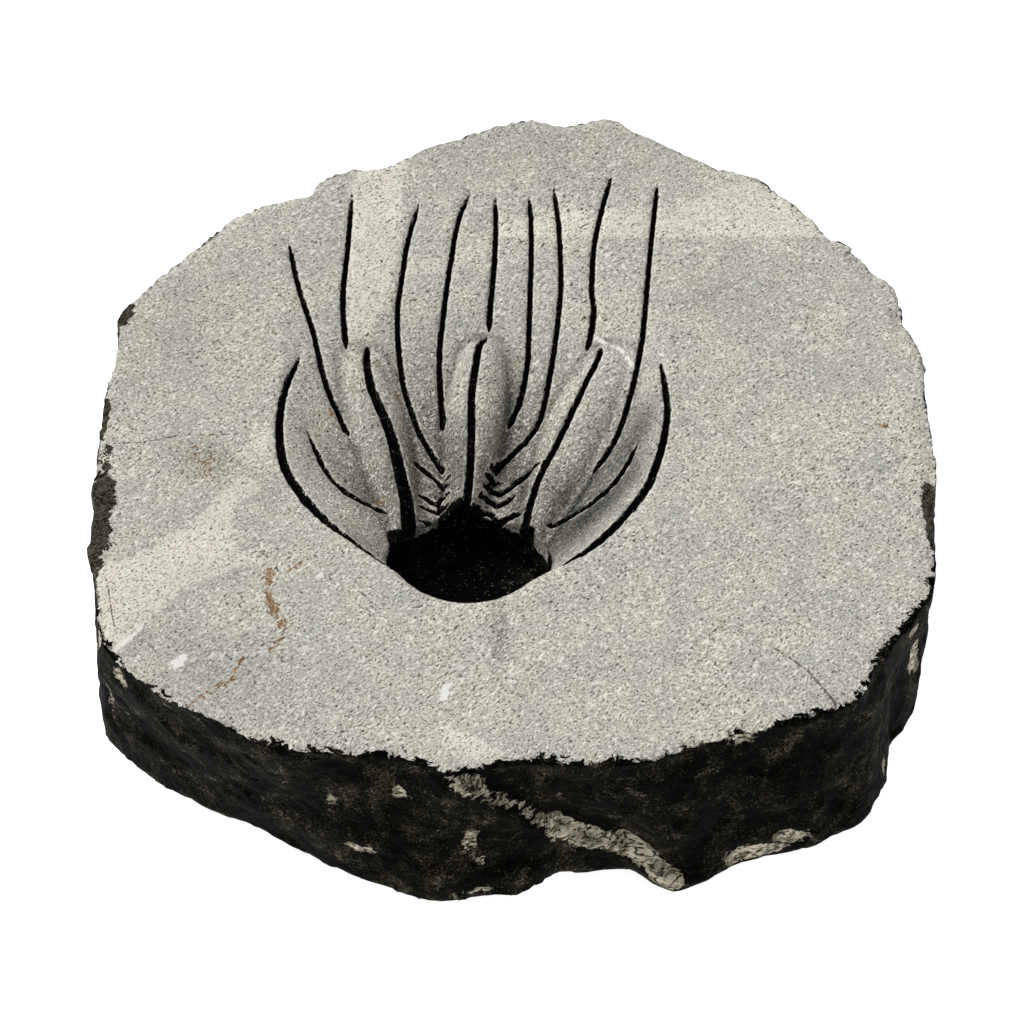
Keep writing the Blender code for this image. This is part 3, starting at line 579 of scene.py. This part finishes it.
def makeSkin():
    # one closed skin: a tube of plain quads, cut finer wherever the stone has detail
    bm = bmesh.new()
    bmesh.ops.create_cone(bm, cap_ends=False, segments=mesh["columns"], radius1=1, radius2=1, depth=1)
    bmesh.ops.translate(bm, vec=(0, 0, 0.5), verts=bm.verts)
    rowValues = skinRows()
    upright = [e for e in bm.edges if abs(e.verts[0].co.z - e.verts[1].co.z) > 0.5]
    bmesh.ops.subdivide_edges(bm, edges=upright, cuts=len(rowValues) - 2, use_grid_fill=True)
    sheet = bm.verts.layers.float_vector.new("sheet")
    for vert in bm.verts:
        row = rowValues[round(vert.co.z * (len(rowValues) - 1))]
        vert[sheet] = vert.co.xy.to_3d() + Vector((0, 0, row))
    rows, place, wanted = np.zeros((0, 3)), np.zeros((0, 3)), np.zeros(0)
    for i in range(mesh["rounds"]):
        # new points come after the old ones, so only they are placed and measured
        known = len(rows)
        rows = np.array([tuple(vert[sheet]) for vert in bm.verts])
        place = np.concatenate((place, sheetPlace(rows[known:])))
        wanted = np.concatenate((wanted, wantedLength(place[known:], rows[known:, 2])))
        bm.verts.ensure_lookup_table()
        for k in range(known, len(rows)):
            bm.verts[k].co = place[k]
        bmesh.ops.triangulate(bm, faces=[f for f in bm.faces if len(f.verts) > 3], quad_method='SHORT_EDGE')
        bm.verts.index_update()
        bm.edges.index_update()
        bm.edges.ensure_lookup_table()
        # a face that is too large is cut across its longest edge, so that no face gets thin
        corners = np.array([[v.index for v in f.verts] for f in bm.faces])
        edges = np.array([[loop.edge.index for loop in f.loops] for f in bm.faces])
        sides = np.stack([np.linalg.norm(place[corners[:, k]] - place[corners[:, (k + 1) % 3]], axis=1)
                          for k in range(3)], 1)
        longest = sides.argmax(1)
        tooLong = sides.max(1) > 1.35 * wanted[corners].min(1)
        split = set(edges[tooLong, longest[tooLong]].tolist())
        print("skin round", i + 1, "faces", len(bm.faces), "cuts", len(split))
        if not split:
            break
        bmesh.ops.subdivide_edges(bm, edges=[bm.edges[k] for k in split], cuts=1)
    rows = np.array([tuple(vert[sheet]) for vert in bm.verts])
    for vert, spot in zip(bm.verts, sheetPlace(rows, detailed=True)):
        vert.co = spot
    bmesh.ops.triangulate(bm, faces=[f for f in bm.faces if len(f.verts) > 3], quad_method='SHORT_EDGE')
    poles = [v for v in bm.verts if v[sheet].z < 0.0001 or v[sheet].z > 3.9999]
    bmesh.ops.remove_doubles(bm, verts=poles, dist=0.00002)
    bmesh.ops.recalc_face_normals(bm, faces=bm.faces[:])
    return bm


def addValues(skin, name, values):
    skin.attributes.new(name, 'FLOAT', 'POINT').data.foreach_set("value", values.astype(np.float32))


def patchTone(x, y, patches):
    tone = np.zeros(len(x))
    for centreX, centreY, halfLong, halfWide, turn, strength in patches:
        turn = math.radians(turn)
        u = ((x - centreX) * math.cos(turn) + (y - centreY) * math.sin(turn)) / halfLong
        v = ((y - centreY) * math.cos(turn) - (x - centreX) * math.sin(turn)) / halfWide
        tone += strength * np.exp(-(u * u + v * v))
    return tone


def markShare(x, y, lines):
    # how far a spot is inside the nearest line: its strength on the line, 0 at its edge, -1 far away
    share = np.full(len(x), -1.0)
    for start, end, half, strength in lines:
        away = alongRoute(x, y, np.array((start, end)), 0.02)[0]
        share = np.maximum(share, strength * (1 - away / half))
    return share


def pickBand(x, y):
    # how far a spot is inside the nearest pale band, in metres, and how strong that band is
    inside, strength = np.full(len(x), -1.0), np.zeros(len(x))
    for share, strip in stains["bands"]:
        away, _, here = alongRoute(x, y, np.array(strip), 0.05)
        deeper = here[:, 2] - away
        strength = np.where(deeper > inside, share, strength)
        inside = np.maximum(inside, deeper)
    return inside, strength


def paintEdge(x, y, ring):
    # distance in metres to the edge of the well's paint; below 0 the stone is painted
    for spillX, spillY, radius in stains["spills"]:
        ring = np.minimum(ring, np.hypot(x - spillX, y - spillY) - radius)
    for lumpX, lumpY, radius in stains["lumps"]:
        ring = np.maximum(ring, radius - np.hypot(x - lumpX, y - lumpY))
    return ring


def makeSlab():
    print("stone slab")
    bm = makeSkin()
    skin = bpy.data.meshes.new("stoneSlab")
    bm.to_mesh(skin)
    bm.free()
    count = len(skin.vertices)
    sheet, place = np.zeros(count * 3), np.zeros(count * 3)
    skin.attributes["sheet"].data.foreach_get("vector", sheet)
    skin.vertices.foreach_get("co", place)
    row = sheet.reshape(-1, 3)[:, 2]
    x, y, z = place.reshape(-1, 3).T
    onTop = (row > 0.9999) & (row < 2.0001)
    ring = np.hypot(x - well["x"], y - well["y"]) - well["radius"]
    depth = carvedDepth(x, y)
    drop = (slab["thickness"] - z) * 1000
    back = softStep(y, -0.12, -0.02)
    inside, strength = pickBand(x, y)
    addValues(skin, "cutEdge", np.where(onTop, nearestCut(x, y)[0] * 1000, 20))
    ring = np.where(row < 0.9999, -0.001, ring)
    paint = np.where(drop > 41, -0.002, paintEdge(x, y, ring))
    addValues(skin, "wellEdge", np.where(row > 2, 60, paint * 1000))
    # towards the back the crust stays below the rim and its edge is less ragged
    rim = np.where(row > 2, -drop, rimInset(x, y) * 1000)
    rim = rim * (1 + 2.5 * back) + 10 * back
    grown = np.min([np.hypot((x - overX) / halfWide, (y - overY) / halfLong)
                    for overX, overY, halfWide, halfLong in stains["overgrown"]], axis=0)
    addValues(skin, "rimEdge", np.minimum(rim, (grown - 1) * 12))
    addValues(skin, "moss", softStep(grown, 1.6, 1.1) * softStep(drop, 26, 6))
    addValues(skin, "band", np.where(onTop, inside * 1000, -20))
    addValues(skin, "bandTone", strength)
    addValues(skin, "depth", drop)
    for name, lines in (("rust", "rust"), ("crack", "cracks"), ("chip", "chips")):
        addValues(skin, name, np.where(onTop, markShare(x, y, stains[lines]), -1))
    addValues(skin, "tone", patchTone(x, y, stains["patches"]))
    # painted shade along the fingers' outlines, only where the top is carved
    crease = stains["creasePaintedShade"] * np.exp(-(fingerCrease(x, y) / stains["creaseWidth"]) ** 2)
    # painted shade, painted light and darker tone from the patches, plus the painted shade along the finger
    # creases
    paintedShadeAndTone = patchTone(x, y, stains["paintedShadeAndTone"]) + np.clip(depth * 200, 0, 1) * crease
    addValues(skin, "paintedShadeAndTone", np.where(onTop, np.minimum(paintedShadeAndTone, stains["mostShadeAndTone"]), 0))
    addValues(skin, "bare", np.where(row > 1.9, bareStone(x, y, z) * 1000, -20))
    skin.attributes.remove(skin.attributes["sheet"])
    # from the drawing's centre to the slab's middle, and never outside the solid's box
    moved = place.reshape(-1, 3) - np.array([*slab["middle"], 0])
    moved = np.clip(moved, np.array(cadBox[0]) + 0.00005, np.array(cadBox[1]) - 0.00005)
    moved[:, 2] = np.where(row > 2.9999, cadBox[0][2], moved[:, 2])
    skin.vertices.foreach_set("co", moved.ravel())
    skin.update()
    piece = bpy.data.objects.new("stoneSlab", skin)
    bpy.context.collection.objects.link(piece)
    piece.data.materials.append(makeGranite())
    for face in skin.polygons:
        face.use_smooth = True
    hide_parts("carved_slab")
    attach(piece, "root")
    print("slab vertices", count, "faces", len(skin.polygons))
    return piece


class Wire:
    # one output of a shader node; sums and products of wires add Math nodes

    def __init__(self, finish, socket):
        self.finish, self.socket = finish, socket

    def math(self, operation, first, second=0.0):
        return self.finish.node('ShaderNodeMath', {"operation": operation}, {0: first, 1: second})

    def __add__(self, other):
        return self.math('ADD', self, other)

    def __sub__(self, other):
        return self.math('SUBTRACT', self, other)

    def __mul__(self, other):
        return self.math('MULTIPLY', self, other)

    def __rsub__(self, other):
        return self.math('SUBTRACT', other, self)

    __radd__, __rmul__ = __add__, __mul__

    def size(self):
        return self.math('ABSOLUTE', self)

    def greater(self, other):
        return self.math('MAXIMUM', self, other)


class Finish:
    # a material, and the few ways in which its nodes are made

    def __init__(self, name):
        self.material = bpy.data.materials.new(name)
        self.material.use_nodes = True
        self.tree = self.material.node_tree
        self.shader = Wire(self, self.tree.nodes["Principled BSDF"].outputs[0])

    def node(self, kind, settings=None, inputs=None, output=0):
        made = self.tree.nodes.new(kind)
        for key, value in (settings or {}).items():
            setattr(made, key, value)
        for key, value in (inputs or {}).items():
            self.feed(made.inputs[key], value)
        return Wire(self, made.outputs[output])

    def feed(self, socket, value):
        if isinstance(value, Wire):
            self.tree.links.new(value.socket, socket)
        else:
            socket.default_value = value

    def values(self, name):
        return self.node('ShaderNodeAttribute', {"attribute_name": name}, output="Fac")

    def noise(self, place, size, detail=2.0, roughness=0.5, distortion=0.0):
        # about -1 to 1, with most of it between -0.4 and 0.4
        return self.node('ShaderNodeTexNoise', None, {
            "Vector": place, "Scale": 1 / size, "Detail": detail, "Roughness": roughness,
            "Distortion": distortion}) * 2 - 1

    def step(self, value, low, high):
        # 0 below low, 1 above high, smooth between them; low may be the larger
        return self.node('ShaderNodeMapRange', {"interpolation_type": 'SMOOTHSTEP'}, {
            "Value": value, "From Min": low, "From Max": high})

    def mix(self, factor, under, over, blend='MIX'):
        # its sockets 6 and 7 are the two colours, and its output 2 is the mixed one
        return self.node('ShaderNodeMix', {"data_type": 'RGBA', "blend_type": blend, "clamp_factor": True},
                         {0: factor, 6: under, 7: over}, output=2)

    def vectors(self, operation, first, second=(0.0, 0.0, 0.0), output=0):
        return self.node('ShaderNodeVectorMath', {"operation": operation}, {0: first, 1: second}, output)


def colour(red, green, blue):
    # from the numbers of a colour picker to linear light
    shares = red / 255, green / 255, blue / 255
    return (*(c / 12.92 if c < 0.0404 else ((c + 0.055) / 1.055) ** 2.4 for c in shares), 1.0)


granite = {
    # the tooled top, from its ground to its grains and flecks, and a painted shade for the deep carving
    "grey": colour(198, 196, 188), "cream": colour(206, 202, 189), "blue": colour(184, 186, 184),
    "pale": colour(240, 234, 220), "shade": colour(150, 147, 138), "fleck": colour(70, 67, 60),
    "mica": colour(44, 43, 39), "grain": colour(248, 245, 236), "depthShade": colour(136, 133, 122),
    "rust": colour(116, 82, 42), "ochre": colour(196, 162, 108),
    "chip": colour(244, 242, 236), "crack": colour(70, 62, 50),
    # layers of colour in turn: what drives it, where it starts and is full, its share, its colour
    "ground": (("tint", 0.05, 0.45, 0.4, "blue"), ("tone", 0.12, 0.75, 1.0, "pale"),
               ("tone", -0.12, -0.75, 0.8, "shade")),
    # the first of these layers is painted shade, darker the deeper the carving
    "grains": (("depth", 2.0, 30.0, 0.9, "depthShade"), ("grain", 0.0, 0.42, 0.7, "fleck"),
               ("grain", 0.0, -0.42, 0.85, "grain"), ("coarse", 0.1, 0.4, 0.3, "fleck"),
               ("mica", 0.27, 0.37, 0.85, "mica"), ("whites", 0.2, 0.36, 0.8, "grain")),
    # the way that the grain runs, as an angle from the x axis, and how far it draws the grains out
    "grainTurn": math.radians(42), "grainStretch": 1.55,
    # the black paint and its dust and painted sheen, then the crust and what shows through it
    "paint": colour(8, 7, 6), "dustAndSheen": colour(34, 32, 29), "crust": colour(2, 2, 1),
    "lichen": colour(15, 14, 7), "speck": colour(68, 64, 46), "fibre": colour(112, 107, 90),
    "bare": colour(206, 199, 178), "bareShade": colour(116, 110, 92), "moss": colour(88, 85, 74),
    "roughness": 0.86, "paintRoughness": 0.50, "crustRoughness": 0.72, "shine": 0.03,
    # the fine relief: grains, tool marks, and the rougher break of the sides
    "grainRelief": 0.00016, "toolRelief": 0.00022, "breakRelief": 0.0011,
}


def makeGranite():
    print("granite")
    finish = Finish("tooled granite")
    place = finish.node('ShaderNodeTexCoord', output="Object")
    place = finish.vectors('ADD', place, (*slab["middle"], 0))
    cutEdge, wellEdge, rimEdge = (finish.values(name) for name in ("cutEdge", "wellEdge", "rimEdge"))
    depth, tone = finish.values("depth"), finish.values("tone")
    # grains and flecks are drawn out along the stone's own grain, which runs across the slab
    grained = finish.node('ShaderNodeMapping', {"vector_type": 'TEXTURE'}, {
        "Vector": place, "Rotation": (0.0, 0.0, granite["grainTurn"]),
        "Scale": (granite["grainStretch"], 1.0, 1.0)})
    grain = finish.noise(grained, 0.00095, 2, 0.6)
    coarse = finish.noise(grained, 0.0025, 2, 0.65)
    patch = finish.noise(place, 0.030, 2, 0.6)
    blot = finish.noise(place, 0.009, 3, 0.6, 0.5)

    mica = finish.noise(grained, 0.0013, 1, 0.5)
    fields = {
        "tint": finish.noise(place, 0.022, 1, 0.6) + blot * 0.3, "tone": tone + blot * 0.35 + coarse * 0.2,
        "depth": depth, "grain": grain, "coarse": coarse, "mica": mica + patch * 0.10,
        "whites": finish.noise(grained, 0.0018, 1, 0.6)}

    def lay(under, layers):
        for field, low, high, share, tint in layers:
            under = finish.mix(finish.step(fields[field], low, high) * share, under, granite[tint])
        return under

    # the colour of the tooled top: its ground and pale bands, then painted shade that deepens with the
    # carving, light and dark grains and mica
    base = finish.mix(finish.step(patch + blot * 0.3, -0.25, 0.35), granite["grey"], granite["cream"])
    base = lay(base, granite["ground"])
    band = finish.step(finish.values("band") + blot * 4.0 + coarse * 2.5, -1.2, 1.6)
    base = finish.mix(band * finish.values("bandTone") * 0.85, base, granite["pale"])
    base = lay(base, granite["grains"])

    # the painted shade and painted light multiply the colour, with a little random tone from the noises
    shadeAndToneFactor = (1 - finish.values("paintedShadeAndTone")) * (1 + patch * 0.16 + blot * 0.12)
    shaded = finish.node('ShaderNodeCombineXYZ', None, {0: shadeAndToneFactor, 1: shadeAndToneFactor, 2: shadeAndToneFactor * 0.985})
    base = finish.mix(1.0, base, shaded, 'MULTIPLY')

    # lines of rust, cracks and white chips, broken up by the grains
    onTop = finish.step(rimEdge, -0.5, 1.0)
    rusty = finish.mix(finish.step(grain + coarse * 0.4, -0.20, 0.16), granite["ochre"], granite["rust"])
    speckled = finish.step(finish.values("rust") + coarse * 1.7 + grain * 1.0 + blot * 0.7, 0.15, 0.75)
    base = finish.mix(speckled * onTop * 0.85, base, rusty)
    broken = finish.step(finish.values("chip") + coarse * 1.5 + grain * 0.5 + blot * 0.8, 0.10, 0.50)
    base = finish.mix(broken * onTop, base, granite["chip"])
    broken = finish.step(finish.values("crack") + coarse * 0.6 + grain * 0.3, 0.05, 0.50)
    base = finish.mix(broken * onTop * 0.75, base, granite["crack"])

    # a pale chipped line beside each cut
    chipped = finish.step(cutEdge + grain * 0.8, 1.3, 0.3)
    chipped = chipped * finish.step(finish.noise(place, 0.006, 1), -0.3, 0.2)
    base = finish.mix(chipped * 0.6, base, granite["pale"])

    # black paint in the cuts and the well, dark crust down the sides
    paint = finish.step(cutEdge + coarse * 0.9 + grain * 0.7, 0.15, -0.15)
    spill = finish.step(wellEdge + blot * 2.2 + coarse * 1.2 + grain * 1.4, 0.6, -0.4)
    paint = paint.greater(spill)
    tufts = finish.noise(place, 0.010, 4, 0.75, 1.0) * 11.0 + patch * 5.0
    crust = finish.step(rimEdge + tufts, 1.2, 0.6)
    cloud = finish.noise(place, 0.016, 2, 0.7)
    lichen = finish.step(cloud + coarse * 0.5, -0.1, 0.5)
    crustColour = finish.mix(lichen, granite["crust"], granite["lichen"])
    specks = finish.step(grain + cloud * 0.5, 0.12, 0.40)
    crustColour = finish.mix(specks * 0.65, crustColour, granite["speck"])
    fibres = finish.noise(place, 0.0045, 1, 0.5, 1.4)
    fibres = finish.step(fibres.size(), 0.060, 0.020)
    fibres = fibres * finish.step(blot + cloud * 0.8, 0.12, 0.40)
    crustColour = finish.mix(fibres * 0.6, crustColour, granite["fibre"])
    # bare stone, crossed by black cracks that run along it
    bareNoise = blot * 4.5 + coarse * 4.0 + grain * 1.2
    showing = finish.step(finish.values("bare") + bareNoise, -0.1, 0.9)
    creases = finish.noise(finish.vectors('MULTIPLY', place, (1.0, 1.0, 3.0)), 0.011, 2, 0.65, 0.5)
    creases = finish.step(creases.size(), 0.085, 0.045)
    bareColour = finish.mix(finish.step(coarse + blot, -0.3, 0.4), granite["bare"], granite["bareShade"])
    bareColour = finish.mix(creases * 0.9, bareColour, granite["crust"])
    moss = finish.step(finish.values("moss") + blot * 0.9 + coarse * 0.6, 0.40, 0.75)
    moss = moss * finish.step(grain + coarse * 0.6, 0.30, -0.25)
    crustColour = finish.mix(moss, crustColour, granite["moss"])
    crustColour = finish.mix(showing, crustColour, bareColour)
    # the paint is greyer in clouds, partly dust and partly a painted dim sheen, and has a few pale specks
    sheenCloud = finish.step(blot + patch * 0.5, 0.0, 0.45)
    painted = finish.mix(sheenCloud * 0.8, granite["paint"], granite["dustAndSheen"])
    painted = finish.mix(finish.step(mica + blot * 0.3, 0.36, 0.46), painted, granite["fibre"])
    base = finish.mix(paint, base, painted)
    base = finish.mix(crust, base, crustColour)

    rough = granite["roughness"] + paint * (granite["paintRoughness"] - granite["roughness"])
    rough = rough + crust * (granite["crustRoughness"] - granite["roughness"])

    # fine relief: tool marks and grains on the top, a rougher break on the sides
    relief = grain * granite["grainRelief"] + finish.noise(grained, 0.0036, 1, 0.6) * granite["toolRelief"]
    broken = finish.step(rimEdge, 1.0, -4.0) * finish.noise(place, 0.006, 3, 0.7)
    relief = relief + broken * granite["breakRelief"]
    bump = finish.node('ShaderNodeBump', None, {"Strength": 1.0, "Distance": 1.0, "Height": relief})
    shader = finish.shader.socket.node
    finish.feed(shader.inputs["Base Color"], base)
    finish.feed(shader.inputs["Roughness"], rough)
    finish.feed(shader.inputs["Normal"], bump)
    shader.inputs["Specular IOR Level"].default_value = granite["shine"]
    return finish.material


makeSlab()

studio = {
    # the camera's height above the horizon, its distance, what it looks at, and its lens
    "elevation": 50.0, "distance": 1.6, "target": (-0.0030, -0.0165, 0.055), "lens": 36 * 2986 / 1024,
    "sky": 0.36, "lamp": 2.35, "lampSpread": 35, "lampPlace": (-1.2, 0.6, 1.4),
    "floor": colour(250, 250, 250), "floorGlow": 0.9, "floorRadius": 12,
}


def aim(thing, target):
    heading = Vector(target) - thing.location
    thing.rotation_euler = heading.to_track_quat('-Z', 'Y').to_euler()


def makeStudio():
    print("studio")
    scene = bpy.context.scene
    lens = bpy.data.cameras.new("camera")
    lens.lens, lens.sensor_width, lens.clip_end = studio["lens"], 36, 50
    camera = bpy.data.objects.new("camera", lens)
    tilt = math.radians(studio["elevation"])
    back = Vector((0, -math.cos(tilt), math.sin(tilt)))
    camera.location = Vector(studio["target"]) + studio["distance"] * back
    aim(camera, studio["target"])
    lamp = bpy.data.lights.new("softbox", 'SUN')
    lamp.energy, lamp.angle = studio["lamp"], math.radians(studio["lampSpread"])
    softbox = bpy.data.objects.new("softbox", lamp)
    softbox.location = studio["lampPlace"]
    aim(softbox, (0, 0, 0.05))
    bm = bmesh.new()
    bmesh.ops.create_circle(bm, cap_ends=True, segments=96, radius=studio["floorRadius"])
    ground = bpy.data.meshes.new("floor")
    bm.to_mesh(ground)
    bm.free()
    floor = bpy.data.objects.new("floor", ground)
    paint = bpy.data.materials.new("pale floor")
    paint.use_nodes = True
    shader = paint.node_tree.nodes["Principled BSDF"]
    shader.inputs["Base Color"].default_value = studio["floor"]
    shader.inputs["Roughness"].default_value = 0.9
    shader.inputs["Emission Color"].default_value = (1, 1, 1, 1)
    shader.inputs["Emission Strength"].default_value = studio["floorGlow"]
    ground.materials.append(paint)
    for thing in (camera, softbox, floor):
        scene.collection.objects.link(thing)
    scene.camera = camera
    scene.world = bpy.data.worlds.new("soft light")
    scene.world.use_nodes = True
    sky = scene.world.node_tree.nodes["Background"]
    sky.inputs["Color"].default_value = (1, 1, 1, 1)
    sky.inputs["Strength"].default_value = studio["sky"]
    scene.view_settings.view_transform = 'Standard'


makeStudio()
